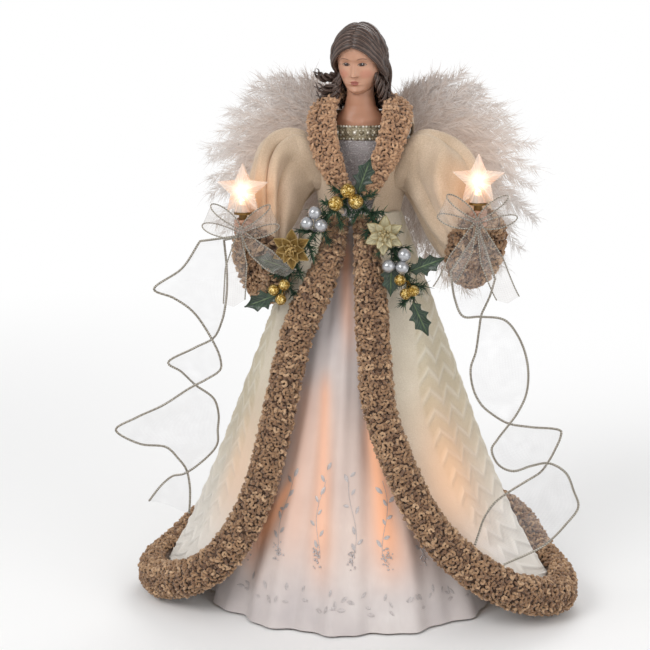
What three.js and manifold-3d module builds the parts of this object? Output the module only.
// Lighted angel tree topper, 16 inches tall, in millimetres.
// +Z is up, -Y is the front and +X is the angel's left hand side as seen from the front.
// The origin is on the axis of the body cone, on the plane that the cone's foot ring stands on.
import * as THREE from 'three';
import { mergeVertices } from 'three/addons/utils/BufferGeometryUtils.js';
import Module from 'manifold-3d';

const wasm = await Module();
wasm.setup();

// Clearances shared by all pieces
const seatGap = 0.3; // touching pieces keep this distance
const clothGap = 1.2; // free cloth keeps this distance from its neighbour
const cutOverrun = 2; // a cutting tool runs past the face it cuts
const mergeDistance = 1e-4; // corners closer than this are one corner

// Body cone, a moulded shell that drops over the tip of the tree
const coneHeight = 268;
const coneBaseRadius = 66;
const coneTopRadius = 18;
const coneWall = 1.6;
const coneFootWidth = 5;
const coneFootThickness = 2;

// Lamps that light the skirts from inside, clipped through the wall of the cone
const lampRadius = 3.1;
const lampLength = 12;
const lampHoleRadius = 4.2;
const lampHolderInside = 7;
const lampHolderOutside = 3.2;
const lampHolderRimWidth = 1.4;
const lampHolderRimThickness = 1.2;
const harnessWireRadius = 1.1;
const lampSides = 7;
const lampDegreesShares = [
  // degrees round from the front, share of the cone's height
  [2, 0.77],
  [-30, 0.5],
  [24, 0.42],
  [72, 0.4],
  [176, 0.45],
  [-78, 0.42],
];

// Torso form, which plugs into the top of the cone and carries everything above it
const figureOffset = 4; // the figure stands a little to the right of the cone's axis
const plugLength = 12;
const plugFlange = 3;
const plugTaper = 1;
const hipLength = 17;
const torsoLength = 35;
const torsoWaistHeight = coneHeight + hipLength;
const torsoTopHeight = torsoWaistHeight + torsoLength;
const torsoWaistWidth = 30;
const torsoWaistDepth = 24;
const torsoTopWidth = 42;
const torsoTopDepth = 28;
const torsoTopRounding = 1;
const chestForward = 1;
const shoulderRise = 12; // of the shoulder eyes above the top of the torso
const shoulderHeight = torsoTopHeight + shoulderRise;
const shoulderReach = 30;
const shoulderEarRadius = 5;
const shoulderEarThickness = 5;
const shoulderBoreRadius = 1.7;

// Bust: shoulder plate, neck and head moulded in one
const bustPlateWidth = 41;
const bustPlateDepth = 26;
const neckRadius = 8;
const neckForward = 1.5;
const neckTopRise = 32; // above the top of the torso
const chinRise = 6; // above the top of the neck
const neckHeight = torsoTopHeight + neckTopRise;
const chinHeight = neckHeight + chinRise;
const headHeight = 45;
const headWidth = 30;
const headDepth = 35;
const headForward = 4;
const faceAside = 1; // the face looks a little to one side
const hairThickness = 3;
const hairSideThickness = 5.5;
const napeDrop = 2;
const napeInset = 4;
const napeBack = 5;
const curlRadius = 6;

// Bodice and the lace band at its neckline
const bodySides = 16; // sides of every section of the torso and of what is fitted to it
const bodiceThickness = 1.2;
const laceBandHeight = 10;
const laceBandThickness = 1.6;
const laceBandRise = 6; // above the top of the torso
const laceBandBottom = torsoTopHeight + laceBandRise;

// Coat, inner skirt and their trims
const waistDrop = 2; // of the coat's waist below the torso's
const waistHeight = torsoWaistHeight - waistDrop;
const coatThickness = 1.4;
const coatWaistWidth = 60;
const coatHemFlare = 9;
const coatCorners = [[0.22, 60], [0.08, -62]]; // how much fuller the hem is, and where in degrees
const coatCornerSpread = 24; // degrees
const coatWaistFront = 27;
const coatWaistBack = 27;
const coatTopHeight = coneHeight;
const coatFoldDepth = 2.4;
const coatFoldCount = 9;
const coatDrapeDepth = 2.2; // of the closer folds, which start clear of the front edges
const coatDrapeCount = 13;
const coatDrapeStartShare = 0.05; // of the way round, from each front edge
const innerSkirtGap = 8;
const innerSkirtThickness = 0.9;
const innerSkirtOutsideCone = 44; // at the hem, sideways
const innerSkirtHemHalfWidth = coneBaseRadius + innerSkirtOutsideCone;
const coatOutsideInnerSkirt = 21; // at the hem, sideways
const coatHemWidth = 2 * (innerSkirtHemHalfWidth + coatOutsideInnerSkirt);
const coatAheadOfCone = 53; // at the hem
const coatBehindCone = 40;
const coatHemFront = coneBaseRadius + coatAheadOfCone;
const coatHemBack = coneBaseRadius + coatBehindCone;
const innerFoldDepth = 5;
const innerFoldCount = 13;
const innerSkirtAboveFloor = 1.5;
const trimSides = 8;
const trimRadius = 13.5; // round the hem
const trimFrontRadius = 12;
const trimTopRadius = 7.5;
const trimStand = 7; // distance from the coat's cloth to the middle of its trim
const frontEdgeDegreesShares = {
  // share of the way from the coat's top to its hem, degrees round from the front
  left: [[0, -11], [0.06, -12.5], [0.11, -16.5], [0.16, -20.5], [0.215, -26], [0.27, -29], [0.33, -30.5],
    [0.53, -30.5], [0.66, -31.2], [0.72, -32.5], [0.78, -34.5], [0.84, -37.5], [0.9, -42], [0.955, -51],
    [1, -66]],
  right: [[0, 15.5], [0.06, 16], [0.11, 16.5], [0.16, 17], [0.3, 16.8], [0.44, 17], [0.51, 19.3], [0.57, 22],
    [0.62, 24.4], [0.67, 27], [0.72, 29.4], [0.775, 33], [0.83, 37.5], [0.9, 45], [0.96, 54], [1, 68]],
};
const hemAboveFloor = 1.2;
const hemLift = 33;
const hemLiftDegreesShares = [
  // degrees round from the front, share of the lift of the hem
  [-180, 1], [-150, 0.96], [-120, 0.62], [-100, 0.18], [-85, 0.02], [-66, 0], [68, 0], [84, 0.06], [98, 0.3],
  [112, 0.66], [130, 0.94], [150, 1], [180, 1],
];

// Upper coat and collar
const upperCoatWidth = 76;
const upperCoatDepth = 46;
const upperCoatWaistWidth = 52;
const upperCoatWaistDepth = 44;
const upperCoatRise = 12; // above the shoulder eyes
const upperCoatTopHeight = shoulderHeight + upperCoatRise;
const upperCoatFrontDegrees = 42;
const armholeRadius = 10;
const armholeForward = 4;
const collarHalfWidth = 11;
const collarHalfThickness = 5.5;
const collarReach = 24; // sideways from the middle of the neck
const collarForward = 34; // from the middle of the neck to the front ends
const collarBelowChin = 4;
const collarEndRise = 4; // of the front ends above the waist
const collarLeanBack = 8;
const collarLeanUp = 26;
const collarTopHeight = chinHeight - collarBelowChin;

// Arms, hands and sleeves
const armWireRadius = 1.3;
const wristReach = { left: 75, right: 85 };
const wristForward = 46;
const wristDrop = { left: 65, right: 56 }; // below the shoulder eyes
const palmRadius = 5;
const fingerRadius = 1.7;
const handHeight = 14;
const sleeveThickness = 1.3;
const sleeveRootHalfHeight = 23;
const sleeveRootHalfDepth = 15;
const sleeveRootDrop = 21; // of its middle below the shoulder eyes
const sleeveRootStand = 2; // outside the upper coat
const sleeveBow = { left: [13, 8, 26], right: [1, 8, 15] }; // of the elbow: outwards, back and up
const sleeveFullness = 9; // of the bell between elbow and cuff
const sleeveMouthHalfHeight = 22;
const sleeveMouthHalfWidth = 15;
const wristPastMouth = { left: 9, right: 2 };
const wristAboveMouth = { left: 26, right: 21 };
const wristBeforeMouth = 15;
const cuffRadius = 9.5;

// Star lights in the hands
const holderHeight = 16;
const holderRadius = 2.9;
const holderFlangeRadius = 6.4;
const holderFlangeThickness = 1.4;
const holderCupRadius = 4.3;
const holderCupDepth = 5;
const starLampRadius = 2.6;
const starLampLength = 15;
const starTipRadius = 18.5;
const starNotchRadius = 8.6;
const starMiddleThickness = 13;
const starRimThickness = 3;
const starNeckLength = 8;
const starNeckWall = 1.3;
const starNeckClearance = 0.35;

// Sheer bows and the long wired ribbons
const bowKnotRadius = 3;
const bowKnotDrop = 1;
const bowLoopForward = 1.5;
const bowLoopSpread = 3.2; // between the front and the back of a loop
const bowLoopLength = 30;
const bowLoopRise = 13;
const bowRibbonWidth = 15;
const bowTailLength = 60;
const bowTailForward = 2.2;
const bowTailBow = 4;
const bowTailShares = {
  // across outwards and down, as shares of the tail's length
  left: { inner: [-0.5, 0.5], outer: [0.06, 0.86] },
  right: { inner: [-0.34, 0.76], outer: [0.34, 0.9] },
};
const bowThickness = 0.8;
const ribbonThickness = 0.8;
const ribbonDrop = 190;
const ribbonSpread = 80;
const ribbonBehindBow = 5;
const ribbonTwistDepth = 5; // each edge stands this far from the middle, one ahead and one behind
const ribbonHangForward = 62;

// Feather wings
const wingSpan = 108;
const wingThickness = 9;
const wingTipThickness = 1.6;
const featherCount = 10;
const featherNotchShare = 0.1;
const wingRootDrop = 14; // below the shoulder eyes
const wingRootHeight = shoulderHeight - wingRootDrop;
const wingPinBehindCoat = 10;
const wingRootOut = 6; // from the hinge pin to where the feathers start
const wingBehindPin = 1.5;
const wingSweepBack = 12;
const wingWireRadius = 1.1;
const wingPinLength = 14;
const wingBracketWidth = 26;
const wingBracketHeight = 22;
const wingBracketThickness = 2;
const wingBracketGap = 0.3; // between the bracket and the coat
const wingWireRise = 4;
const wingTubeRadius = 2.9;
const wingTubeBore = 1.4;

// Waist garland
const garlandWireRadius = 1.1;
const garlandForward = 51;
const garlandPeakRise = 9; // above the waist
const garlandPeakHeight = torsoWaistHeight + garlandPeakRise;
const garlandDrop = 72;
const garlandHalfWidth = 48;
const sprigLength = 11;
const sprigRadius = 2.2;
const largeBerryRadius = 5;
const smallBerryRadius = 3.9;
const pearlRadius = 4.5;
const petalLength = 14;
const petalNotchShare = 0.34;
const petalThickness = 0.9;
const petalCount = 6;
const hollyLength = 26;
const hollyWidth = 15;
const hollyThickness = 0.9;
const footRadius = 1.4;
const stalkRadius = 0.6;
const leavesAhead = 5.6; // how far in front of the stem's plane the leaves, balls and flowers lie
const ballsAhead = 7.6;
const flowersAhead = 9;

const vector = (x, y, z) => new THREE.Vector3(x, y, z);
const radians = (degrees) => THREE.MathUtils.degToRad(degrees);
const sides = { left: -1, right: 1 };

// A value read from rows of [place, value], eased between the rows.
function tableValue(rows, place) {
  if (place <= rows[0][0]) return rows[0][1];
  for (let i = 1; i < rows.length; i++) {
    const [end, endValue] = rows[i];
    if (place <= end) {
      const [start, startValue] = rows[i - 1];
      return startValue + (endValue - startValue) * (place - start) / (end - start);
    }
  }
  return rows[rows.length - 1][1];
}

// A closed mesh through rows of points that each go once round the section.
function loft(loops, { closed = false, cap = 'fan' } = {}) {
  const count = loops[0].length;
  const positions = loops.flatMap((loop) => loop.flatMap((p) => [p.x, p.y, p.z]));
  const index = [];
  const bands = closed ? loops.length : loops.length - 1;
  for (let i = 0; i < bands; i++) {
    const here = i * count;
    const next = ((i + 1) % loops.length) * count;
    for (let k = 0; k < count; k++) {
      const after = (k + 1) % count;
      index.push(here + k, here + after, next + after, here + k, next + after, next + k);
    }
  }
  if (!closed) {
    const last = (loops.length - 1) * count;
    if (cap === 'fan') {
      for (const [start, flip] of [[0, true], [last, false]]) {
        const middle = vector(0, 0, 0);
        for (const p of loops[start / count]) middle.add(p);
        middle.divideScalar(count);
        const centre = positions.length / 3;
        positions.push(middle.x, middle.y, middle.z);
        for (let k = 0; k < count; k++) {
          const after = (k + 1) % count;
          index.push(centre, start + (flip ? after : k), start + (flip ? k : after));
        }
      }
    } else {
      for (const [start, flip] of [[0, true], [last, false]]) {
        for (let k = 0; k < count / 2 - 1; k++) {
          const a = start + k;
          const b = start + k + 1;
          const c = start + count - 2 - k;
          const d = start + count - 1 - k;
          index.push(...(flip ? [a, c, b, a, d, c] : [a, b, c, a, c, d]));
        }
      }
    }
  }
  return facingOut(positions, index);
}

// Turns a mesh right side out when its volume comes out negative.
function facingOut(positions, index) {
  let volume = 0;
  const point = (i) => vector(positions[3 * i], positions[3 * i + 1], positions[3 * i + 2]);
  for (let i = 0; i < index.length; i += 3) {
    volume += point(index[i]).dot(point(index[i + 1]).cross(point(index[i + 2])));
  }
  if (volume < 0) {
    for (let i = 0; i < index.length; i += 3) [index[i], index[i + 1]] = [index[i + 1], index[i]];
  }
  const geometry = new THREE.BufferGeometry();
  geometry.setAttribute('position', new THREE.Float32BufferAttribute(positions, 3));
  geometry.setIndex(index);
  return geometry;
}

// A tube along at(t), with half sizes half(t) = [across, through] and its flat side facing outward(p, t).
function sweep({ at, steps, around, half, outward, closed = false, from = 0, to = 1 }) {
  const loops = [];
  const nudgeShare = 0.004;
  for (let i = 0; i < (closed ? steps : steps + 1); i++) {
    const t = from + (to - from) * i / steps;
    const before = closed ? t - nudgeShare : Math.max(t - nudgeShare, 0);
    const after = closed ? t + nudgeShare : Math.min(t + nudgeShare, 1);
    const place = at(t);
    const tangent = at(after).sub(at(before)).normalize();
    const across = vector(0, 0, 0).crossVectors(tangent, outward(place, t)).normalize();
    const through = vector(0, 0, 0).crossVectors(across, tangent);
    const [wide, thick] = half(t);
    const loop = [];
    for (let k = 0; k < around; k++) {
      const turn = 2 * Math.PI * (k + 0.5) / around;
      loop.push(place.clone()
        .addScaledVector(across, wide * Math.cos(turn))
        .addScaledVector(through, thick * Math.sin(turn)));
    }
    loops.push(loop);
  }
  return loft(loops, { closed });
}

// A sheet of one thickness behind the surface at(u, v), as one closed body.
function sheet({ at, across, down, thickness, wrap = false }) {
  const nudgeShare = 0.002;
  const normal = (u, v) => {
    const u0 = wrap ? u - nudgeShare : Math.max(u - nudgeShare, 0);
    const u1 = wrap ? u + nudgeShare : Math.min(u + nudgeShare, 1);
    const v0 = Math.max(v - nudgeShare, 0);
    const v1 = Math.min(v + nudgeShare, 1);
    const alongU = at(u1, v).sub(at(u0, v));
    const alongV = at(u, v1).sub(at(u, v0));
    return alongU.cross(alongV).normalize();
  };
  const loops = [];
  for (let i = 0; i < (wrap ? across : across + 1); i++) {
    const u = i / across;
    const outer = [];
    const inner = [];
    for (let j = 0; j <= down; j++) {
      const v = j / down;
      const p = at(u, v);
      outer.push(p);
      inner.unshift(p.clone().addScaledVector(normal(u, v), -thickness));
    }
    loops.push([...outer, ...inner]);
  }
  return loft(loops, { closed: wrap, cap: 'strip' });
}

// A body of level rings, each row [height, half width, half depth, middle x, middle y].
function rings(rows, around, grow = 0) {
  return loft(rows.map(([z, wide, deep, x, y]) => {
    const loop = [];
    for (let k = 0; k < around; k++) {
      const turn = 2 * Math.PI * k / around;
      loop.push(vector(x + (wide + grow) * Math.sin(turn), y - (deep + grow) * Math.cos(turn), z));
    }
    return loop;
  }));
}

function wire(points, radius, steps, around = 6) {
  const curve = new THREE.CatmullRomCurve3(points, false, 'centripetal');
  const corners = [];
  for (let k = 0; k < around; k++) {
    const turn = 2 * Math.PI * k / around;
    corners.push(new THREE.Vector2(radius * Math.cos(turn), radius * Math.sin(turn)));
  }
  const outline = new THREE.Shape(corners);
  return new THREE.ExtrudeGeometry(outline, { steps, extrudePath: curve, bevelEnabled: false });
}

function lathe(profile, around) {
  const geometry = new THREE.LatheGeometry(profile.map(([r, z]) => new THREE.Vector2(r, z)), around);
  return geometry.rotateX(Math.PI / 2);
}

function rod(radius, length, around) {
  return lathe([[0, 0], [radius, 0], [radius, length], [0, length]], around);
}

// A ball that is a little flat at its poles, so that it has few faces.
function ball(radius, around = 7, levels = 4) {
  const profile = [];
  for (let i = 0; i <= levels; i++) {
    const turn = Math.PI * i / levels - Math.PI / 2;
    profile.push([i === 0 || i === levels ? 0 : radius * Math.cos(turn), radius * Math.sin(turn)]);
  }
  return lathe(profile, around);
}

function solid(geometry) {
  const plain = geometry.clone();
  plain.deleteAttribute('normal');
  plain.deleteAttribute('uv');
  const merged = mergeVertices(plain, mergeDistance);
  const outward = facingOut(Array.from(merged.attributes.position.array), Array.from(merged.index.array));
  return new wasm.Manifold(new wasm.Mesh({
    numProp: 3,
    vertProperties: outward.attributes.position.array,
    triVerts: Uint32Array.from(outward.index.array),
  }));
}

function shape(manifold) {
  const mesh = manifold.getMesh();
  const positions = [];
  for (let i = 0; i < mesh.vertProperties.length; i += mesh.numProp) {
    positions.push(...mesh.vertProperties.slice(i, i + 3));
  }
  const geometry = new THREE.BufferGeometry();
  geometry.setAttribute('position', new THREE.Float32BufferAttribute(positions, 3));
  geometry.setIndex(Array.from(mesh.triVerts));
  return geometry;
}

function joined(...geometries) {
  return shape(geometries.map(solid).reduce((all, next) => all.add(next)));
}

function cut(geometry, ...tools) {
  return shape(tools.map(solid).reduce((left, tool) => left.subtract(tool), solid(geometry)));
}

function material(color, roughness, metalness = 0, opacity = 1) {
  return new THREE.MeshStandardMaterial({ color, roughness, metalness, opacity, transparent: opacity < 1 });
}

const looks = {
  cone: material(0xe8e4da, 0.6),
  porcelain: material(0xe9c3a6, 0.4),
  hair: material(0x4a2f22, 0.5),
  brocade: material(0xc9c4d0, 0.5),
  lace: material(0xc9b88e, 0.5, 0.3),
  plush: material(0xece6d2, 0.9),
  satin: material(0xdcd8d6, 0.45),
  trim: material(0xa5825f, 0.95),
  wire: material(0x8f8a80, 0.4, 0.8),
  acrylic: material(0xfff2d8, 0.15, 0, 0.6),
  lampGlass: material(0xffd9a0, 0.1),
  holder: material(0x7a5a2a, 0.5),
  organza: material(0xc4c4c4, 0.3, 0.1, 0.6),
  feather: material(0xf4f1ea, 0.9),
  pine: material(0x26402a, 0.8),
  gold: material(0xb8902e, 0.35, 0.8),
  pearl: material(0xc9ccd4, 0.25, 0.3),
  champagne: material(0xc0ab74, 0.4, 0.5),
  holly: material(0x2c4a2c, 0.6),
  leadWire: material(0xe9ecdf, 0.6),
};

const angel = new THREE.Group();

function place(name, geometry, look, parent = angel) {
  const mesh = new THREE.Mesh(geometry, look);
  mesh.name = name;
  parent.add(mesh);
  return mesh;
}

// Cone and its lamps

const coneRadiusAt = (z) => coneBaseRadius + (coneTopRadius - coneBaseRadius) * z / coneHeight;
const coneSlope = Math.atan2(coneBaseRadius - coneTopRadius, coneHeight);

// Sets a piece that was made along +Z so that it points square out of the cone's wall.
function onConeWall(geometry, degrees, heightShare) {
  const z = coneHeight * heightShare;
  const out = radians(degrees);
  geometry.rotateY(Math.PI / 2 - coneSlope);
  geometry.translate(coneRadiusAt(z), 0, z);
  return geometry.rotateZ(out - Math.PI / 2);
}

function coneShell() {
  const inner = coneBaseRadius - coneWall;
  const shell = lathe([
    [inner, 0], [coneBaseRadius + coneFootWidth, 0], [coneBaseRadius + coneFootWidth, coneFootThickness],
    [coneRadiusAt(coneFootThickness), coneFootThickness], [coneTopRadius, coneHeight],
    [coneTopRadius - coneWall, coneHeight], [inner, 0],
  ], 28);
  const holeLength = 2 * cutOverrun + 2 * coneWall;
  const holes = lampDegreesShares.map(([degrees, share]) => onConeWall(
    rod(lampHoleRadius, holeLength, lampSides).translate(0, 0, cutOverrun - holeLength), degrees, share));
  return cut(shell, ...holes);
}

// A holder is a plug through the wall with a rim outside, and a cup for the lamp.
function lampHolder() {
  const plug = lampHoleRadius - seatGap;
  const rim = lampHoleRadius + lampHolderRimWidth;
  const cup = lampRadius + seatGap;
  return lathe([
    [0, -lampHolderInside], [plug, -lampHolderInside], [plug, seatGap],
    [rim, seatGap], [rim, seatGap + lampHolderRimThickness],
    [cup, lampHolderOutside], [cup, 0], [0, 0],
  ], lampSides);
}

function skirtLamp() {
  const profile = [[0, seatGap], [lampRadius, seatGap]];
  const body = lampLength - lampRadius;
  profile.push([lampRadius, body], [lampRadius * 0.75, body + lampRadius * 0.66], [0, lampLength]);
  return lathe(profile, lampSides);
}

// The lead runs up inside the wall from holder to holder, in order round the cone.
function harness() {
  const inside = lampHolderInside - harnessWireRadius;
  const ends = lampDegreesShares.map(([degrees, share]) => {
    const end = onConeWall(new THREE.BufferGeometry().setFromPoints([vector(0, 0, -inside)]), degrees, share);
    return vector(0, 0, 0).fromBufferAttribute(end.attributes.position, 0);
  });
  const route = [ends[0], ends[1], ends[5], ends[4], ends[3], ends[2]];
  const points = [];
  for (let i = 0; i < route.length - 1; i++) {
    const a = Math.atan2(route[i].y, route[i].x);
    let turn = Math.atan2(route[i + 1].y, route[i + 1].x) - a;
    if (turn > Math.PI) turn -= 2 * Math.PI;
    if (turn < -Math.PI) turn += 2 * Math.PI;
    const pieces = 5;
    for (let k = 0; k < pieces; k++) {
      const share = k / pieces;
      const z = route[i].z + (route[i + 1].z - route[i].z) * share;
      const bulge = Math.sin(Math.PI * share) * (lampHolderInside - coneWall - 3 * harnessWireRadius);
      const start = Math.hypot(route[i].x, route[i].y);
      const finish = Math.hypot(route[i + 1].x, route[i + 1].y);
      const radius = start + (finish - start) * share + bulge;
      points.push(vector(radius * Math.cos(a + turn * share), radius * Math.sin(a + turn * share), z));
    }
  }
  points.push(route[route.length - 1]);
  const holders = lampDegreesShares.map(([degrees, share]) => onConeWall(lampHolder(), degrees, share));
  return joined(wire(points, harnessWireRadius, 34, 4), ...holders);
}

// Torso, bust and hair

const torsoBase = coneHeight + seatGap;

function torsoRows(grow = 0) {
  const x = figureOffset;
  const wide = torsoTopWidth / 2 + grow;
  const deep = torsoTopDepth / 2 + grow;
  return [
    [torsoBase + plugFlange, coneTopRadius + grow, coneTopRadius + grow, 0, 0],
    [torsoWaistHeight, torsoWaistWidth / 2 + grow, torsoWaistDepth / 2 + grow, x, 0],
    [torsoWaistHeight + torsoLength * 0.7, wide, deep, x, -chestForward],
    [torsoTopHeight, wide - torsoTopRounding, deep - torsoTopRounding, x, 0],
  ];
}

function shoulderEar(side, grow = 0) {
  const reach = shoulderReach * side;
  const lug = rod(shoulderEarRadius + grow, shoulderEarThickness + 2 * grow, 12)
    .rotateX(Math.PI / 2)
    .translate(figureOffset + reach, shoulderEarThickness / 2 + grow, shoulderHeight);
  return joined(lug, shoulderBar(side, grow));
}

// A flat arm of the torso form that rises to the eye of the shoulder.
function shoulderBar(side, grow) {
  const half = shoulderEarThickness / 2 + grow;
  const inner = torsoTopWidth / 2 - shoulderEarRadius;
  const beside = bustPlateWidth / 2 + laceBandThickness + 2 * seatGap - grow;
  const below = torsoTopHeight - 3 * shoulderEarRadius - grow;
  const outline = [
    [inner, below], [shoulderReach + grow, shoulderHeight - shoulderEarRadius - grow],
    [shoulderReach + grow, shoulderHeight], [beside, shoulderHeight],
    [beside, torsoTopHeight - seatGap + grow], [inner, torsoTopHeight - seatGap],
  ];
  const flat = new THREE.Shape(outline.map(([x, z]) => new THREE.Vector2(x, z)));
  const bar = new THREE.ExtrudeGeometry(flat, { depth: 2 * half, bevelEnabled: false });
  bar.rotateX(Math.PI / 2).translate(0, half, 0);
  if (side < 0) bar.rotateZ(Math.PI);
  return bar.translate(figureOffset, 0, 0);
}

function torsoForm() {
  const plugRadius = coneTopRadius - coneWall - seatGap;
  const plug = lathe([
    [0, coneHeight - plugLength], [plugRadius - plugTaper, coneHeight - plugLength], [plugRadius, torsoBase],
    [coneTopRadius, torsoBase], [coneTopRadius, torsoBase + plugFlange], [0, torsoBase + plugFlange],
  ], 20);
  const boreLength = shoulderEarThickness + 2 * cutOverrun;
  const bores = Object.values(sides).map((side) => rod(shoulderBoreRadius, boreLength, 10)
    .rotateX(Math.PI / 2)
    .translate(figureOffset + side * shoulderReach, boreLength / 2, shoulderHeight));
  const body = joined(plug, rings(torsoRows(), bodySides), shoulderEar(-1), shoulderEar(1));
  return cut(body, ...bores);
}

// Half sizes of the bust from its plate to the crown, as shares of the sizes named in each row.
function bustRows(grow = 0) {
  const x = figureOffset;
  const rows = [];
  const plate = bustPlateWidth / 2;
  const deep = bustPlateDepth / 2;
  const base = torsoTopHeight + seatGap;
  const neckRise = neckHeight - base;
  for (const [rise, wideShare, deepShare] of [[0, 1, 1], [0.22, 1, 1], [0.5, 0.86, 0.92], [0.7, 0.6, 0.75]]) {
    rows.push([base + neckRise * rise, plate * wideShare + grow, deep * deepShare + grow, x, 0]);
  }
  rows.push([neckHeight - neckRise * 0.12, neckRadius + grow, neckRadius + grow, x, -neckForward * 0.66]);
  rows.push([neckHeight, neckRadius + grow, neckRadius + grow, x, -neckForward]);
  const headShares = [
    // height, half width, half depth, middle forward
    [0, 0.58, 0.62, 1.25], [0.12, 0.8, 0.86, 1.15], [0.28, 0.96, 0.98, 1], [0.48, 1, 1, 0.8],
    [0.68, 0.99, 0.99, 0.6], [0.84, 0.86, 0.86, 0.5], [0.94, 0.62, 0.62, 0.5], [1, 0.25, 0.25, 0.5],
  ];
  for (const [rise, wide, deepShare, forward] of headShares) {
    rows.push([chinHeight + headHeight * rise + (rise === 1 ? grow : 0), headWidth / 2 * wide + grow,
      headDepth / 2 * deepShare + grow, x, -headForward * forward]);
  }
  return rows;
}

function hairCap() {
  const outer = bustRows(hairThickness).filter(([z]) => z > chinHeight + headHeight * 0.1);
  for (const row of outer) row[1] += hairSideThickness - hairThickness;
  const nape = outer[0];
  outer.unshift([chinHeight - napeDrop, nape[1] - napeInset, nape[2] - napeInset, nape[3], napeBack]);
  const curls = [
    // across, back and up from the chin as shares of the head, radius share
    [-0.95, 0.05, 0.12, 1], [-1.5, 0, 0.18, 0.85], [-1.8, -0.02, 0.24, 0.72], [0.95, 0.1, 0.14, 1],
    [-0.4, 0.7, 0.08, 1.2], [0.45, 0.7, 0.08, 1.2],
  ].map(([across, back, up, radius]) => ball(curlRadius * radius, 6, 4).translate(
    figureOffset + headWidth / 2 * across,
    -headForward + headDepth / 2 * back,
    chinHeight + headHeight * up));
  const hair = joined(rings(outer, bodySides), ...curls);
  // The face shows through an oval window whose middle is in front of the head.
  const window = ball(1, 10, 6).scale(headWidth * 0.45, headDepth * 0.6, headHeight * 0.54)
    .translate(figureOffset - faceAside, -headForward - headDepth * 0.58, chinHeight + headHeight * 0.36);
  return cut(hair, rings(bustRows(seatGap), bodySides), window);
}

// Cloth of the upper body

function ringSheet(rowsOf, around, thickness) {
  const outer = rowsOf(thickness);
  const inner = rowsOf(0);
  const loops = [];
  for (let k = 0; k < around; k++) {
    const turn = 2 * Math.PI * k / around;
    const at = ([z, wide, deep, x, y]) => vector(x + wide * Math.sin(turn), y - deep * Math.cos(turn), z);
    loops.push([...outer.map(at), ...inner.map(at).reverse()]);
  }
  return loft(loops, { closed: true });
}

function bodiceRows(grow) {
  const rows = torsoRows(seatGap + grow).slice(1);
  const top = [...rows[rows.length - 1]];
  top[0] = laceBandBottom - seatGap;
  top[1] = bustPlateWidth / 2 + seatGap + grow;
  top[2] = bustPlateDepth / 2 + seatGap + grow;
  const chest = rows[rows.length - 1];
  chest[1] = Math.max(chest[1], top[1]);
  chest[2] = Math.max(chest[2], top[2]);
  return [...rows, top];
}

function bodice() {
  const ears = Object.values(sides).map((side) => shoulderEar(side, clothGap));
  return cut(ringSheet(bodiceRows, bodySides, bodiceThickness), ...ears);
}

function laceBand() {
  const rows = (grow) => [0, 0.5, 1].map((share) => [
    laceBandBottom + laceBandHeight * share,
    bustPlateWidth / 2 + seatGap + grow,
    bustPlateDepth / 2 + seatGap + grow,
    figureOffset, 0,
  ]);
  return ringSheet(rows, bodySides, laceBandThickness);
}

// The upper coat is open at the front, where the collar lies over its edges.
function upperCoat() {
  const shares = [[0, 0], [0.25, 0.35], [0.5, 0.85], [0.75, 1], [0.9, 0.92], [1, 0.8]];
  const at = (u, v) => {
    const degrees = -upperCoatFrontDegrees - (360 - 2 * upperCoatFrontDegrees) * u;
    const z = coatTopHeight + clothGap + (upperCoatTopHeight - coatTopHeight - clothGap) * (1 - v);
    const width = tableValue(shares, 1 - v);
    const wide = (upperCoatWaistWidth + (upperCoatWidth - upperCoatWaistWidth) * width) / 2;
    const deep = (upperCoatWaistDepth + (upperCoatDepth - upperCoatWaistDepth) * width) / 2;
    return vector(figureOffset + wide * Math.sin(radians(degrees)), -deep * Math.cos(radians(degrees)), z);
  };
  const cloth = sheet({ at, across: 14, down: 4, thickness: coatThickness });
  const armholes = Object.values(sides).map((side) => rod(armholeRadius, upperCoatWidth, 10)
    .rotateY(side * Math.PI / 2)
    .translate(figureOffset, -armholeForward, shoulderHeight - armholeRadius * 0.6));
  return cut(cloth, ...armholes);
}

// The collar lies round the neck and down both front edges to the waist.
const collarSideShares = [
  // half of the way from the back of the neck to the waist: across, forward, down
  [0, -0.62, 0], [0.62, -0.52, 0.02], [1.06, 0.05, 0.06], [1.12, 0.5, 0.2], [1.05, 0.75, 0.36],
  [0.86, 0.92, 0.58], [0.6, 1, 0.8], [0.34, 1.04, 0.98],
];

function collarRoute() {
  const drop = collarTopHeight - torsoWaistHeight - collarEndRise;
  const half = (side) => collarSideShares.map(([across, ahead, down]) => vector(
    figureOffset + side * collarReach * across, -collarForward * ahead, collarTopHeight - drop * down));
  const points = [...half(-1).reverse(), ...half(1).slice(1)];
  return new THREE.CatmullRomCurve3(points, false, 'centripetal');
}

function collar(grow = 0) {
  const route = collarRoute();
  const widthShares = [[0, 0.5], [0.12, 0.8], [0.3, 1], [0.5, 0.8], [0.7, 1], [0.88, 0.8], [1, 0.5]];
  return sweep({
    at: (t) => route.getPointAt(Math.min(Math.max(t, 0), 1)),
    steps: 26,
    around: 8,
    half: (t) => [collarHalfWidth * tableValue(widthShares, t) + grow, collarHalfThickness + grow],
    outward: (p) => vector((p.x - figureOffset) * 0.7, p.y - collarLeanBack, collarLeanUp).normalize(),
  });
}

// Skirts and trims

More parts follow.
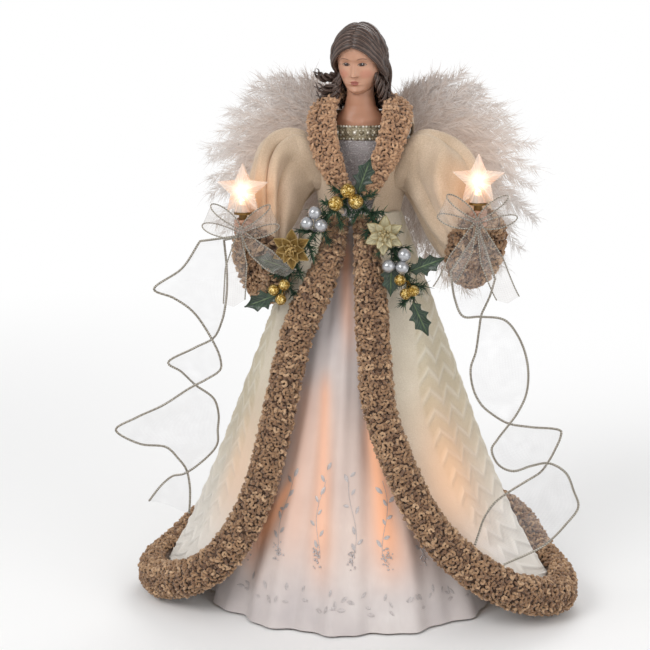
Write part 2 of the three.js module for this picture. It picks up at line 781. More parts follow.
function coatHalfSizes(z, degrees) {
  const fall = Math.min(Math.max(1 - z / waistHeight, 0), 1);
  const fuller = coatCorners.map(([share, middle]) => (
    share * Math.exp(-(((degrees - middle) / coatCornerSpread) ** 2))));
  const flare = fall ** 5 * (fuller[0] + fuller[1]);
  const wide = (coatWaistWidth + (coatHemWidth - coatWaistWidth) * fall) / 2 + coatHemFlare * fall ** 8;
  const front = coatWaistFront + (coatHemFront - coatWaistFront) * fall;
  const back = coatWaistBack + (coatHemBack - coatWaistBack) * fall;
  return [wide * (1 + flare), front * (1 + flare), back * (1 + flare), fall];
}

// A point of the coat's cloth, or of a line at some distance outside it.
function coatPoint(degrees, z, stand = 0) {
  const turned = degrees < -180 ? degrees + 360 : degrees;
  const [wide, front, back, fall] = coatHalfSizes(z, turned);
  const aside = Math.sin(radians(turned));
  const ahead = Math.cos(radians(turned));
  const sideways = Math.min(1, Math.max(0, (Math.abs(turned) - 30) / 30));
  const fold = coatFoldDepth * sideways * fall ** 2 * Math.cos(radians(coatFoldCount * turned));
  const deep = ahead > 0 ? front : back;
  return vector((wide + fold + stand) * aside, -(deep + fold + stand) * ahead, z);
}

const hemHeight = (degrees) => trimRadius + hemAboveFloor + hemLift * tableValue(hemLiftDegreesShares,
  degrees < -180 ? degrees + 360 : degrees);

function edgePlace(side, v) {
  const degrees = tableValue(frontEdgeDegreesShares[side], v);
  return [degrees, coatTopHeight + (hemHeight(degrees) - coatTopHeight) * v];
}

function coatSkirt(trims) {
  const at = (u, v) => {
    const start = tableValue(frontEdgeDegreesShares.left, v);
    const end = tableValue(frontEdgeDegreesShares.right, v) - 360;
    const degrees = start + (end - start) * u;
    const z = coatTopHeight + (hemHeight(degrees) - coatTopHeight) * v;
    const clear = Math.min(1, Math.min(u, 1 - u) / coatDrapeStartShare);
    return coatPoint(degrees, z, coatDrapeDepth * v * clear * Math.cos(radians(coatDrapeCount * degrees) + 0.6));
  };
  return cut(sheet({ at, across: 66, down: 5, thickness: coatThickness }), ...trims);
}

// The trim's middle line goes down the left edge, round the hem and up the right edge.
function trimLine() {
  const places = [];
  const edgeSteps = 16;
  for (let i = 0; i < edgeSteps; i++) places.push(edgePlace('left', i / edgeSteps));
  const start = tableValue(frontEdgeDegreesShares.left, 1);
  const end = tableValue(frontEdgeDegreesShares.right, 1) - 360;
  const hemSteps = 34;
  for (let i = 0; i <= hemSteps; i++) {
    const degrees = start + (end - start) * i / hemSteps;
    places.push([degrees, hemHeight(degrees)]);
  }
  for (let i = edgeSteps - 1; i >= 0; i--) places.push(edgePlace('right', i / edgeSteps));
  const points = places.map(([degrees, z]) => coatPoint(degrees, z, trimStand));
  return new THREE.CatmullRomCurve3(points, false, 'centripetal');
}

const trimRoute = trimLine();
trimRoute.arcLengthDivisions = 600;
const trimLength = trimRoute.getLength();
const frontTrimShare = 0.26;
// Radius of the roll by share of the front edge, from its top.
const trimRadii = [[0, trimTopRadius], [0.2, trimFrontRadius], [0.65, trimFrontRadius], [0.9, trimRadius]];

function trimPart(from, to, steps, grow = 0) {
  return sweep({
    at: (t) => trimRoute.getPointAt(Math.min(Math.max(t, 0), 1)),
    steps,
    around: trimSides,
    from,
    to,
    half: (t) => {
      const radius = tableValue(trimRadii, Math.min(t, 1 - t) / frontTrimShare) / Math.cos(Math.PI / trimSides);
      return [radius + grow, radius + grow];
    },
    outward: (p) => vector(p.x, p.y, 0).normalize(),
  });
}

function innerSkirt() {
  const top = coneHeight - clothGap;
  const topRadius = coneRadiusAt(top) + seatGap + innerSkirtThickness;
  const at = (u, v) => {
    const degrees = -360 * u;
    const z = innerSkirtAboveFloor + (top - innerSkirtAboveFloor) * (1 - v);
    const [wide, front, back, fall] = coatHalfSizes(z, 0);
    const sideShare = innerSkirtHemHalfWidth / (coatHemWidth / 2);
    const aside = Math.sin(radians(degrees));
    const ahead = Math.cos(radians(degrees));
    const fold = innerFoldDepth * fall * (Math.cos(radians(innerFoldCount * degrees)) - 1) / 2;
    const settle = Math.min(1, v * 9);
    const mix = (size) => topRadius + (size - topRadius) * settle;
    const deep = mix((ahead > 0 ? front : back) - innerSkirtGap) + fold;
    const across = mix((wide - coatHemFlare * fall ** 8) * sideShare) + fold;
    return vector(Math.max(across, topRadius) * aside, -Math.max(deep, topRadius) * ahead, z);
  };
  return sheet({ at, across: 4 * innerFoldCount, down: 4, thickness: innerSkirtThickness, wrap: true });
}

// Arms, hands, sleeves, cuffs and star lights

function wristPoint(name) {
  const x = figureOffset + sides[name] * wristReach[name];
  return vector(x, -wristForward, shoulderHeight - wristDrop[name]);
}

function armWire(name, grow = 0, past = grow * 2) {
  const side = sides[name];
  const pivot = vector(figureOffset + side * shoulderReach, 0, shoulderHeight);
  const wrist = wristPoint(name);
  const pinBack = shoulderEarThickness / 2 + armWireRadius;
  const front = pivot.clone().add(vector(0, -pinBack - 2 * armWireRadius, 0));
  const bend = armWireRadius * 2;
  const { middle } = sleeveMouth(name);
  const elbow = front.clone().lerp(middle, 0.5).add(vector(side * bend, 0, bend));
  const pass = middle.clone().add(vector(0, 0, sleeveMouthHalfHeight * 0.3));
  const under = wrist.clone().add(vector(0, palmRadius * 0.5, -handHeight * 0.75));
  return wire([
    pivot.clone().add(vector(0, pinBack, 0)),
    pivot.clone().add(vector(0, -pinBack, 0)),
    front.clone().add(vector(side * bend, 0, -bend)),
    elbow,
    pass,
    under,
    wrist.clone().add(vector(0, palmRadius * 0.5, past)),
  ], armWireRadius + grow, 15, 5);
}

const holderBase = (name) => wristPoint(name).add(vector(0, -palmRadius * 0.4, armWireRadius));

function starHolder(name, grow = 0) {
  const cup = holderCupRadius;
  const top = holderHeight;
  const flangeTop = top - holderCupDepth - seatGap;
  const base = holderBase(name);
  return lathe([
    [0, -grow], [holderRadius + grow, -grow],
    [holderRadius + grow, flangeTop - holderFlangeThickness - grow],
    [holderFlangeRadius + grow, flangeTop - holderFlangeThickness - grow],
    [holderFlangeRadius + grow, flangeTop + grow], [cup + grow, flangeTop + grow], [cup + grow, top + grow],
    [starLampRadius + seatGap, top + grow],
    [starLampRadius + seatGap, top - holderCupDepth], [0, top - holderCupDepth],
  ], 12).translate(base.x, base.y, base.z + seatGap);
}

function starLamp(name) {
  const base = holderBase(name);
  const start = holderHeight - holderCupDepth + seatGap;
  const body = starLampLength - starLampRadius;
  return lathe([
    [0, 0], [starLampRadius, 0], [starLampRadius, body], [starLampRadius * 0.8, body + starLampRadius * 0.6],
    [0, starLampLength],
  ], 10).translate(base.x, base.y, base.z + seatGap + start);
}

// A faceted star in the X-Z plane, thickest in its middle, with its first tip up.
function starBody({ points, tip, notch, rim, middle }) {
  const positions = [];
  const index = [];
  const add = (p) => positions.push(p.x, p.y, p.z) / 3 - 1;
  const corners = [];
  for (let i = 0; i < 2 * points; i++) {
    const turn = Math.PI * i / points;
    const radius = i % 2 === 0 ? tip : notch;
    corners.push(vector(radius * Math.sin(turn), 0, radius * Math.cos(turn)));
  }
  const front = corners.map((p) => add(vector(p.x, -rim / 2, p.z)));
  const back = corners.map((p) => add(vector(p.x, rim / 2, p.z)));
  const frontMiddle = add(vector(0, -middle / 2, 0));
  const backMiddle = add(vector(0, middle / 2, 0));
  for (let i = 0; i < 2 * points; i++) {
    const next = (i + 1) % (2 * points);
    index.push(frontMiddle, front[i], front[next], backMiddle, back[next], back[i]);
    index.push(front[i], back[i], back[next], front[i], back[next], front[next]);
  }
  return facingOut(positions, index);
}

// The clear star over each lamp has a neck that slips over the cup of the holder.
function starCover(name) {
  const body = starBody({
    points: 5, tip: starTipRadius, notch: starNotchRadius, rim: starRimThickness, middle: starMiddleThickness,
  });
  const bore = holderCupRadius + starNeckClearance;
  const neckBottom = -starNotchRadius - starNeckLength * 0.75;
  const neck = rod(bore + starNeckWall, starNeckLength, 12).translate(0, 0, neckBottom);
  const boreDepth = holderCupDepth + cutOverrun + seatGap;
  const neckBore = rod(bore, boreDepth, 12).translate(0, 0, neckBottom - cutOverrun);
  const lampRoom = starLampRadius + clothGap;
  const lampBore = rod(lampRoom, starLampLength + clothGap, 10).translate(0, 0, neckBottom);
  const star = cut(joined(body, neck), neckBore, lampBore);
  const base = holderBase(name);
  const seat = base.z + seatGap + holderHeight - holderCupDepth - seatGap + seatGap;
  return star.translate(base.x, base.y, seat - neckBottom);
}

// A loose fist: a palm behind the holder, four fingers across it and a thumb.
function hand(name) {
  const side = sides[name];
  const wrist = wristPoint(name);
  const base = holderBase(name);
  const behind = holderRadius + palmRadius * 0.7;
  const palmPath = new THREE.CatmullRomCurve3([[0.4, 0.2, -0.45], [0.2, 0, 0.1], [0, 0, 0.5]].map(
    ([inwards, back, up]) => vector(
      wrist.x - side * palmRadius * inwards,
      base.y + behind + palmRadius * back,
      wrist.z + handHeight * up)));
  const palmShares = [[0, 0.55], [0.3, 0.8], [0.7, 1], [1, 0.8]];
  const palm = sweep({
    at: (t) => palmPath.getPoint(t),
    steps: 4,
    around: 8,
    half: (t) => [palmRadius * tableValue(palmShares, t), palmRadius * 0.7 * tableValue(palmShares, t)],
    outward: () => vector(0, -1, 0),
  });
  const fingers = [];
  for (let i = 0; i < 4; i++) {
    const z = wrist.z - handHeight * 0.12 + fingerRadius * 1.55 * i;
    const wrap = holderRadius + fingerRadius * 0.75;
    fingers.push(wire([
      vector(base.x + side * palmRadius * 0.7, base.y + behind * 0.7, z),
      vector(base.x + side * wrap * 1.1, base.y - wrap * 0.2, z - fingerRadius * 0.1),
      vector(base.x + side * wrap * 0.3, base.y - wrap * 1.05, z - fingerRadius * 0.2),
      vector(base.x - side * wrap * 0.7, base.y - wrap * 0.6, z - fingerRadius * 0.3),
    ], fingerRadius, 3, 4));
  }
  const thumb = wire([
    vector(base.x - side * palmRadius * 0.7, base.y + behind * 0.8, wrist.z),
    vector(base.x - side * (holderRadius + fingerRadius * 1.1), base.y, wrist.z + handHeight * 0.28),
    vector(base.x - side * holderRadius * 0.9, base.y - holderRadius * 1.3, wrist.z + handHeight * 0.42),
  ], fingerRadius, 2, 4);
  const room = rod(holderRadius + seatGap, holderHeight + handHeight, 8)
    .translate(base.x, base.y, base.z - handHeight);
  return cut(joined(palm, ...fingers, thumb), room, armWire(name, seatGap), cuff(name, seatGap));
}

// Where the middle of a sleeve's mouth is, and which way it looks.
function sleeveMouth(name) {
  const side = sides[name];
  const wrist = wristPoint(name);
  const middle = wrist.clone().add(vector(-side * wristPastMouth[name], wristBeforeMouth,
    -wristAboveMouth[name]));
  const facing = vector(side * 0.62, -0.7, -0.3).normalize();
  return { middle, facing };
}

function sleevePoint(name, turn, v, grow = 0) {
  const side = sides[name];
  const root = vector(figureOffset + side * (upperCoatWidth / 2 + sleeveRootStand), -armholeForward,
    shoulderHeight - sleeveRootDrop);
  const { middle, facing } = sleeveMouth(name);
  const [bowOut, bowBack, bowUp] = sleeveBow[name];
  const elbow = root.clone().lerp(middle, 0.5).add(vector(side * bowOut, bowBack, bowUp));
  const at = (a, b, c) => a * (1 - v) * (1 - v) + 2 * b * v * (1 - v) + c * v * v;
  const place = vector(at(root.x, elbow.x, middle.x), at(root.y, elbow.y, middle.y),
    at(root.z, elbow.z, middle.z));
  const axis = vector(side, -0.2, -0.4).lerp(facing, v).normalize();
  const high = vector(0, 0, 1).addScaledVector(axis, -axis.z).normalize();
  const flat = vector(0, 0, 0).crossVectors(axis, high);
  const fuller = sleeveFullness * Math.sin(Math.PI * v ** 1.5) + grow;
  const tall = sleeveRootHalfHeight + (sleeveMouthHalfHeight - sleeveRootHalfHeight) * v + fuller;
  const deep = sleeveRootHalfDepth + (sleeveMouthHalfWidth - sleeveRootHalfDepth) * v + fuller * 0.6;
  return place.addScaledVector(high, tall * Math.cos(turn)).addScaledVector(flat, deep * Math.sin(turn));
}

function sleeve(name, cuffRoom) {
  const cloth = sheet({
    at: (u, v) => sleevePoint(name, sides[name] * 2 * Math.PI * u, v),
    across: 14,
    down: 5,
    thickness: sleeveThickness,
    wrap: true,
  });
  return cut(cloth, cuffRoom);
}

function cuff(name, grow = 0) {
  const { middle, facing } = sleeveMouth(name);
  return sweep({
    at: (t) => sleevePoint(name, 2 * Math.PI * t, 1, 0),
    steps: 16,
    around: 7,
    closed: true,
    half: () => [cuffRadius + grow, cuffRadius * 0.72 + grow],
    outward: (p) => {
      const spoke = p.clone().sub(middle);
      return spoke.addScaledVector(facing, -facing.dot(spoke)).normalize();
    },
  });
}

// Bows and ribbons

// A flat band between two edges, given as rows of [first edge point, second edge point]. Both
// faces are split along the same diagonal, so that a twisted stretch keeps its thickness.
function band(rows, thickness) {
  const positions = [];
  const index = [];
  rows.forEach(([a, b], i) => {
    const [a0, b0] = rows[Math.max(i - 1, 0)];
    const [a1, b1] = rows[Math.min(i + 1, rows.length - 1)];
    const along = a1.clone().add(b1).sub(a0).sub(b0);
    const normal = along.cross(b.clone().sub(a)).normalize().multiplyScalar(thickness / 2);
    for (const [point, way] of [[a, 1], [b, 1], [b, -1], [a, -1]]) {
      const corner = point.clone().addScaledVector(normal, way);
      positions.push(corner.x, corner.y, corner.z);
    }
    const p = 4 * i;
    const q = p + 4;
    if (i === rows.length - 1) {
      index.push(p, p + 1, p + 2, p, p + 2, p + 3);
      return;
    }
    if (i === 0) index.push(p, p + 2, p + 1, p, p + 3, p + 2);
    index.push(p, q + 1, q, p, p + 1, q + 1, p + 3, q + 3, q + 2, p + 3, q + 2, p + 2);
    index.push(p + 1, q + 2, q + 1, p + 1, p + 2, q + 2, p, q, q + 3, p, q + 3, p + 3);
  });
  return facingOut(positions, index);
}

function bowKnot(name) {
  const fingers = (holderRadius + fingerRadius * 0.75) * 1.05 + fingerRadius * 0.45;
  const forward = fingers + seatGap + bowKnotRadius * 0.8;
  return holderBase(name).add(vector(0, -forward, -bowKnotDrop));
}

function bow(name) {
  const side = sides[name];
  const knotPlace = bowKnot(name);
  const knot = ball(bowKnotRadius, 8, 5).scale(1.15, 0.8, 1).translate(knotPlace.x, knotPlace.y, knotPlace.z);
  const parts = [knot];
  for (const way of [-1, 1]) {
    const rows = [];
    const steps = 8;
    for (let i = 0; i <= steps; i++) {
      const turn = 2 * Math.PI * i / steps;
      const out = (1 - Math.cos(turn)) / 2;
      const middle = knotPlace.clone().add(vector(
        way * (bowKnotRadius / 3 + bowLoopLength * 0.75 * out),
        -bowLoopForward * out - bowLoopSpread * Math.sin(turn) * (0.4 + out),
        bowLoopRise * out * 0.8 - bowLoopSpread * 1.1 * Math.sin(turn)));
      const half = bowRibbonWidth / 2 * (0.15 + 0.85 * Math.sqrt(out));
      const lean = vector(-way * 0.45, 0, 1).normalize().multiplyScalar(half);
      rows.push([middle.clone().sub(lean), middle.clone().add(lean)]);
    }
    parts.push(band(rows, bowThickness));
    const tail = [];
    const [across, down] = bowTailShares[name][way > 0 === side > 0 ? 'outer' : 'inner'];
    for (let i = 0; i <= 5; i++) {
      const share = i / 5;
      const middle = knotPlace.clone().add(vector(
        way * bowKnotRadius / 3 + side * bowTailLength * across * share,
        -bowTailForward - bowTailBow * Math.sin(Math.PI * share * 0.8),
        -bowTailLength * down * share));
      const half = bowRibbonWidth / 2 * (0.15 + 0.85 * Math.min(1, share * 2.2));
      const lean = vector(half, 0, half * 0.2);
      tail.push([middle.clone().sub(lean), middle.clone().add(lean)]);
    }
    parts.push(band(tail, bowThickness));
  }
  return joined(...parts);
}

// Both wired edges of each long ribbon: across from the knot as a share of the spread (outwards is
// positive) and down from the knot as a share of the drop.
const ribbonEdgeShares = {
  left: {
    first: [
      [0.36, 0.04], [0.52, 0.14], [0.77, 0.22], [0.6, 0.25], [0.43, 0.3], [0.27, 0.4], [0.2, 0.47],
      [0.2, 0.51], [0.33, 0.55], [0.46, 0.58], [0.71, 0.65], [0.95, 0.7], [1.14, 0.75], [0.93, 0.8],
      [0.69, 0.81], [0.59, 0.85], [0.52, 0.89], [0.49, 0.95], [0.49, 1.01], [0.5, 1.06],
    ],
    second: [
      [0.17, 0.04], [0.15, 0.14], [0.15, 0.22], [0.17, 0.29], [0.2, 0.34], [0.27, 0.4], [0.44, 0.44],
      [0.68, 0.5], [0.57, 0.53], [0.44, 0.58], [0.28, 0.63], [0.24, 0.69], [0.25, 0.75], [0.25, 0.79],
      [0.28, 0.82], [0.42, 0.88], [0.56, 0.92], [0.66, 0.93], [0.77, 0.97], [0.88, 1.03],
    ],
  },
  right: {
    first: [
      [-0.22, 0.18], [-0.18, 0.28], [-0.11, 0.34], [0.04, 0.34], [0.24, 0.35], [0.36, 0.41], [0.43, 0.48],
      [0.45, 0.55], [0.43, 0.61], [0.36, 0.67], [0.29, 0.71], [0.2, 0.76], [0.16, 0.79], [0.22, 0.84],
      [0.34, 0.86], [0.5, 0.84], [0.64, 0.83], [0.78, 0.86], [0.85, 0.92], [0.89, 0.97], [0.79, 1.03],
      [0.62, 1.1], [0.29, 1.17],
    ],
    second: [
      [0.15, 0.21], [0.11, 0.27], [0.07, 0.31], [0.04, 0.34], [0.02, 0.4], [0, 0.47], [-0.04, 0.53],
      [-0.01, 0.6], [0.06, 0.65], [0.15, 0.68], [0.29, 0.71], [0.47, 0.72], [0.73, 0.73], [0.73, 0.75],
      [0.69, 0.79], [0.64, 0.83], [0.57, 0.87], [0.46, 0.9], [0.31, 0.94], [0.19, 0.98], [0.11, 1.03],
      [0.07, 1.08], [0.04, 1.12],
    ],
  },
};

function longRibbon(name) {
  const side = sides[name];
  const knot = bowKnot(name);
  const { first, second } = ribbonEdgeShares[name];
  const edge = (shares, ahead) => new THREE.CatmullRomCurve3(shares.map(([across, down]) => {
    const forward = ahead - ribbonBehindBow;
    const hang = name === 'right' ? ribbonHangForward * Math.max(0, down - 0.4) : 0;
    return vector(knot.x + side * ribbonSpread * across, knot.y - forward - hang, knot.z - ribbonDrop * down);
  }), false, 'centripetal');
  const firstEdge = edge(first, ribbonTwistDepth);
  const secondEdge = edge(second, -ribbonTwistDepth);
  const steps = 30;
  const offset = vector(side * 0.5, 0.3, -1.2).multiplyScalar(bowKnotRadius);
  const under = knot.clone().add(offset);
  const gather = vector(bowKnotRadius / 3, 0, 0);
  const rows = [[under.clone().sub(gather), under.clone().add(gather)]];
  for (let i = 0; i <= steps; i++) rows.push([firstEdge.getPoint(i / steps), secondEdge.getPoint(i / steps)]);
  return band(rows, ribbonThickness);
}

// Wings

// Reach of the feathers by direction: degrees from straight up, share of the span.
const wingReachShares = [
  [8, 0.4], [22, 0.48], [44, 0.68], [65, 0.78], [79, 0.87], [93, 0.96], [104, 1.01], [119, 1.1], [136, 1.18],
  [150, 1.15], [162, 0.95], [172, 0.7],
];
const wingBack = upperCoatDepth / 2 + wingPinBehindCoat;

function wingPivot(name) {
  return vector(figureOffset + sides[name] * wingBracketWidth / 2, wingBack, wingRootHeight);
}

function wing(name) {
  const side = sides[name];
  const pivot = wingPivot(name);
  const start = vector(pivot.x + side * wingRootOut, wingBack + wingBehindPin, wingRootHeight);
  const stepsPerFeather = 3;
  const columns = featherCount * stepsPerFeather;
  const firstDegrees = wingReachShares[0][0];
  const lastDegrees = wingReachShares[wingReachShares.length - 1][0];
  const rows = [0.12, 0.4, 0.75, 1];
  const loops = [];
  for (let i = 0; i <= columns; i++) {
    const share = i / columns;
    const degrees = firstDegrees + (lastDegrees - firstDegrees) * share;
    const within = (i % stepsPerFeather) / stepsPerFeather;
    const crest = Math.abs(Math.sin(Math.PI * within));
    const reach = wingSpan * tableValue(wingReachShares, degrees) * (1 - featherNotchShare * (1 - crest));
    const outer = [];
    const inner = [];
    for (const out of rows) {
      const radius = reach * out;
      const x = start.x + side * radius * Math.sin(radians(degrees));
      const z = start.z + radius * Math.cos(radians(degrees));
      const y = start.y + wingSweepBack * out * out;
      const bulk = Math.sin(Math.PI * Math.min(1, 0.25 + out * 0.62)) * (0.75 + 0.25 * crest);
      const half = (wingTipThickness + (wingThickness - wingTipThickness) * bulk * (1 - out * 0.45)) / 2;
      outer.push(vector(x, y - half, z));
      inner.unshift(vector(x, y + half, z));
    }
    loops.push([...outer, ...inner]);
  }
  return loft(loops, { cap: 'strip' });
}

function wingWire(name) {
  const side = sides[name];
  const pivot = wingPivot(name);
  const back = wingBack + wingBehindPin + wingThickness / 2 + wingWireRadius + seatGap;
  const onWing = (out, degrees) => vector(
    pivot.x + side * (wingRootOut + wingSpan * out * Math.sin(radians(degrees))),
    back + wingSweepBack * (out * 1.05) ** 2 + seatGap,
    wingRootHeight + wingSpan * out * Math.cos(radians(degrees)));
  return wire([
    pivot.clone().add(vector(0, 0, -wingPinLength)),
    pivot.clone(),
    pivot.clone().add(vector(0, 0, wingBracketHeight / 2)),
    pivot.clone().add(vector(0, 0, wingBracketHeight / 2 + wingWireRise)),
    vector(pivot.x + side * wingWireRadius, back + seatGap,
      pivot.z + wingBracketHeight / 2 + 2 * wingWireRise),
    onWing(0.3, 50),
    onWing(0.55, 66),
  ], wingWireRadius, 12, 5);
}

function wingBracket() {
  const front = upperCoatDepth / 2 + wingBracketGap;
  const plate = new THREE.BoxGeometry(wingBracketWidth, wingBracketThickness, wingBracketHeight)
    .translate(figureOffset, front + wingBracketThickness / 2, wingRootHeight);
  const tubes = Object.keys(sides).map((name) => {
    const pivot = wingPivot(name);
    const tube = rod(wingTubeRadius, wingBracketHeight, 10)
      .translate(pivot.x, pivot.y, pivot.z - wingBracketHeight / 2);
    const web = new THREE.BoxGeometry(2 * wingBracketThickness, pivot.y - front, wingBracketHeight)
      .translate(pivot.x, (pivot.y + front) / 2, pivot.z);
    return joined(tube, web);
  });
  const bores = Object.keys(sides).map((name) => {
    const pivot = wingPivot(name);
    return rod(wingTubeBore, wingBracketHeight + 2 * cutOverrun, 10)
      .translate(pivot.x, pivot.y, wingRootHeight - wingBracketHeight / 2 - cutOverrun);
  });
  return cut(joined(plate, ...tubes), ...bores);
}

// Garland

const garlandShares = [
  // across as a share of the half width, down as a share of the drop, back in wire radii
  [-1.04, 1, -3], [-0.82, 0.68, 1], [-0.5, 0.37, 3], [-0.2, 0.13, 3], [0, 0, 3], [0.24, 0.17, 3],
  [0.5, 0.43, 3], [0.74, 0.7, 1], [0.88, 1, -3],
];

const garlandCurve = new THREE.CatmullRomCurve3(garlandShares.map(([across, down, ahead]) => vector(
  figureOffset + garlandHalfWidth * across, -garlandForward - garlandWireRadius * ahead,
  garlandPeakHeight - garlandDrop * down)), false, 'centripetal');

function garlandStem() {
  const stem = wire(garlandCurve.getPoints(12), garlandWireRadius, 18, 5);
  const sprigs = [];
  const count = 14;
  for (let i = 0; i < count; i++) {
    const t = (i + 0.5) / count;
    const root = garlandCurve.getPoint(t);
    const along = garlandCurve.getTangent(t);
    const way = i % 2 === 0 ? 1 : -1;
    const out = vector(-along.z, 0, along.x).multiplyScalar(way).addScaledVector(along, t < 0.5 ? -0.6 : 0.6)
      .add(vector(0, -0.1, 0)).normalize();
    sprigs.push(wire([
      root.clone().addScaledVector(out, -garlandWireRadius * 0.3),
      root.clone().addScaledVector(out, sprigLength),
    ], sprigRadius / 2, 1, 3));
  }
  return joined(stem, ...sprigs);
}

// The place in front of the stem where a decoration's foot is tied on.
function footAt(t) {
  return garlandCurve.getPoint(t).add(vector(0, -garlandWireRadius - seatGap - footRadius, 0));
}

function onGarland([across, down], ahead) {
  return vector(figureOffset + garlandHalfWidth * across, -garlandForward - ahead,
    garlandPeakHeight - garlandDrop * down);
}

const foot = (t) => ball(footRadius, 5, 3).translate(...footAt(t).toArray());
const stalk = (t, end) => wire([footAt(t), end], stalkRadius, 1, 3);

// Three balls on short stalks that meet in one foot.
function cluster({ tiedShare, ballShares, radius }) {
  const parts = [foot(tiedShare)];
  for (const shares of ballShares) {
    const p = onGarland(shares, ballsAhead + radius);
    parts.push(ball(radius, 7, 4).translate(p.x, p.y, p.z), stalk(tiedShare, p));
  }
  return joined(...parts);
}

const clusters = {
  // share of the way along the stem, then across and down as shares of the garland's sizes
  gold_berries_middle: {
    tiedShare: 0.5, ballShares: [[-0.02, -0.04], [-0.19, 0.08], [0.09, 0.06]], radius: largeBerryRadius,
  },
  gold_berries_left: {
    tiedShare: 0.05, ballShares: [[-1.08, 0.91], [-0.93, 0.86], [-0.98, 1.0]], radius: smallBerryRadius,
  },
  gold_berries_right: {
    tiedShare: 0.93, ballShares: [[0.71, 0.79], [0.79, 0.92], [0.9, 0.89]], radius: smallBerryRadius,
  },
  pearls_left: {
    tiedShare: 0.25, ballShares: [[-0.49, 0.17], [-0.6, 0.27], [-0.4, 0.29]], radius: pearlRadius,
  },
  pearls_right: {
    tiedShare: 0.845, ballShares: [[0.77, 0.55], [0.55, 0.66], [0.74, 0.67]], radius: pearlRadius,
  },
};

// A flower of two rings of pointed petals round a button, tied to the stem by its stalk.
function poinsettia({ tiedShare, middleShares }) {
  const ring = (share) => starBody({
    points: petalCount, tip: petalLength * share, notch: petalLength * share * petalNotchShare,
    rim: petalThickness * 0.6, middle: petalThickness * 3,
  });
  const centre = onGarland(middleShares, flowersAhead);
  const turnOver = Math.PI / petalCount;
  const upper = ring(0.76).rotateY(turnOver).translate(0, -petalThickness * 1.6, 0);
  const button = ball(petalLength * 0.2, 6, 4).translate(0, -petalThickness * 2.4, 0);
  const flower = joined(ring(1), upper, button).translate(centre.x, centre.y, centre.z);
  return joined(flower, foot(tiedShare), stalk(tiedShare, centre));
}

// A holly leaf with three points each side, on a stalk.
function hollyLeaf({ tiedShare, startShares, degrees }) {
  const half = hollyWidth / 2;
  const edgeShares = [
    [0, 0.05], [0.55, 0.16], [0.45, 0.3], [1, 0.42], [0.55, 0.55], [0.8, 0.72], [0.3, 0.8], [0, 1],
  ];
  const corner = (way) => ([x, y]) => new THREE.Vector2(way * half * x, hollyLength * y);
  const left = edgeShares.slice(1, -1).reverse().map(corner(-1));
  const outline = new THREE.Shape([...edgeShares.map(corner(1)), ...left]);
  const blade = new THREE.ExtrudeGeometry(outline, { depth: hollyThickness, bevelEnabled: false });
  const base = onGarland(startShares, leavesAhead);
  blade.rotateX(Math.PI / 2).rotateY(radians(degrees)).translate(base.x, base.y, base.z);
  const inBlade = base.clone().add(vector(Math.sin(radians(degrees)), 0, Math.cos(radians(degrees)))
    .multiplyScalar(hollyLength * 0.2)).add(vector(0, -hollyThickness / 2, 0));
  return joined(blade, foot(tiedShare), stalk(tiedShare, inBlade));
}

// Assembly

place('body_cone', coneShell(), looks.cone);
place('lamp_harness', harness(), looks.leadWire);
lampDegreesShares.forEach(([degrees, share], i) => {
  place(`skirt_lamp_${i + 1}`, onConeWall(skirtLamp(), degrees, share), looks.lampGlass);
});
place('torso_form', torsoForm(), looks.cone);
place('bust', rings(bustRows(), bodySides), looks.porcelain);
place('hair', cut(hairCap(), collar(seatGap)), looks.hair);
place('bodice', bodice(), looks.brocade);
place('lace_band', laceBand(), looks.lace);
place('coat_upper', cut(upperCoat(), collar(seatGap)), looks.plush);
const underCollar = [
  rings(bodiceRows(bodiceThickness + seatGap), bodySides),
  rings(bustRows(seatGap), bodySides),
  ...Object.values(sides).map((side) => shoulderEar(side, seatGap)),
];
place('collar', cut(collar(), ...underCollar), looks.trim);

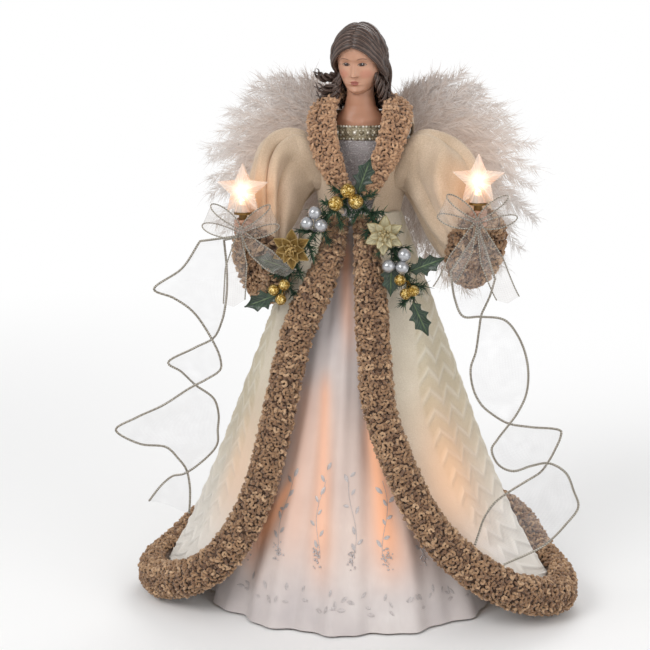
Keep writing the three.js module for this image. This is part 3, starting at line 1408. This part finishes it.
const trimGap = seatGap / trimLength;
const trims = (grow) => [
  trimPart(0, frontTrimShare - trimGap, 16, grow),
  trimPart(frontTrimShare, 1 - frontTrimShare, 32, grow),
  trimPart(1 - frontTrimShare + trimGap, 1, 16, grow),
];
const [trimLeft, hemTrim, trimRight] = trims(0);
place('coat_skirt', coatSkirt(trims(seatGap)), looks.plush);
place('trim_left', trimLeft, looks.trim);
place('hem_trim', hemTrim, looks.trim);
place('trim_right', trimRight, looks.trim);
place('inner_skirt', innerSkirt(), looks.satin);

for (const name of Object.keys(sides)) {
  const arm = new THREE.Group();
  angel.add(arm);
  place(`arm_wire_${name}`, armWire(name), looks.wire, arm);
  place(`hand_${name}`, hand(name), looks.porcelain, arm);
  place(`star_holder_${name}`, starHolder(name), looks.holder, arm);
  place(`star_lamp_${name}`, starLamp(name), looks.lampGlass, arm);
  place(`star_${name}`, starCover(name), looks.acrylic, arm);
  place(`sleeve_${name}`, sleeve(name, cuff(name, seatGap)), looks.plush, arm);
  const pile = cut(cuff(name), armWire(name, seatGap, 0), starHolder(name, seatGap));
  place(`cuff_${name}`, pile, looks.trim, arm);
  place(`bow_${name}`, bow(name), looks.organza, arm);
  place(`ribbon_${name}`, longRibbon(name), looks.organza, arm);
  place(`wing_wire_${name}`, wingWire(name), looks.wire);
  place(`wing_${name}`, wing(name), looks.feather);
}
place('wing_bracket', wingBracket(), looks.wire);

place('garland_stem', garlandStem(), looks.pine);
for (const [name, rows] of Object.entries(clusters)) {
  place(name, cluster(rows), name.startsWith('pearls') ? looks.pearl : looks.gold);
}
place('poinsettia_left', poinsettia({ tiedShare: 0.17, middleShares: [-0.83, 0.52] }), looks.gold);
place('poinsettia_right', poinsettia({ tiedShare: 0.72, middleShares: [0.48, 0.37] }), looks.champagne);
const hollyPlaces = [
  { tiedShare: 0.11, startShares: [-0.86, 0.72], degrees: -72 },
  { tiedShare: 0, startShares: [-1.02, 0.96], degrees: -112 },
  { tiedShare: 0.885, startShares: [0.82, 0.72], degrees: 68 },
  { tiedShare: 1, startShares: [0.88, 1.0], degrees: 156 },
  { tiedShare: 0.79, startShares: [0.58, 0.6], degrees: 181 },
  { tiedShare: 0.56, startShares: [0.1, 0.0], degrees: 20 },
];
hollyPlaces.forEach((rows, i) => {
  place(`holly_leaf_${i + 1}`, hollyLeaf(rows), looks.holly);
});

export default angel;
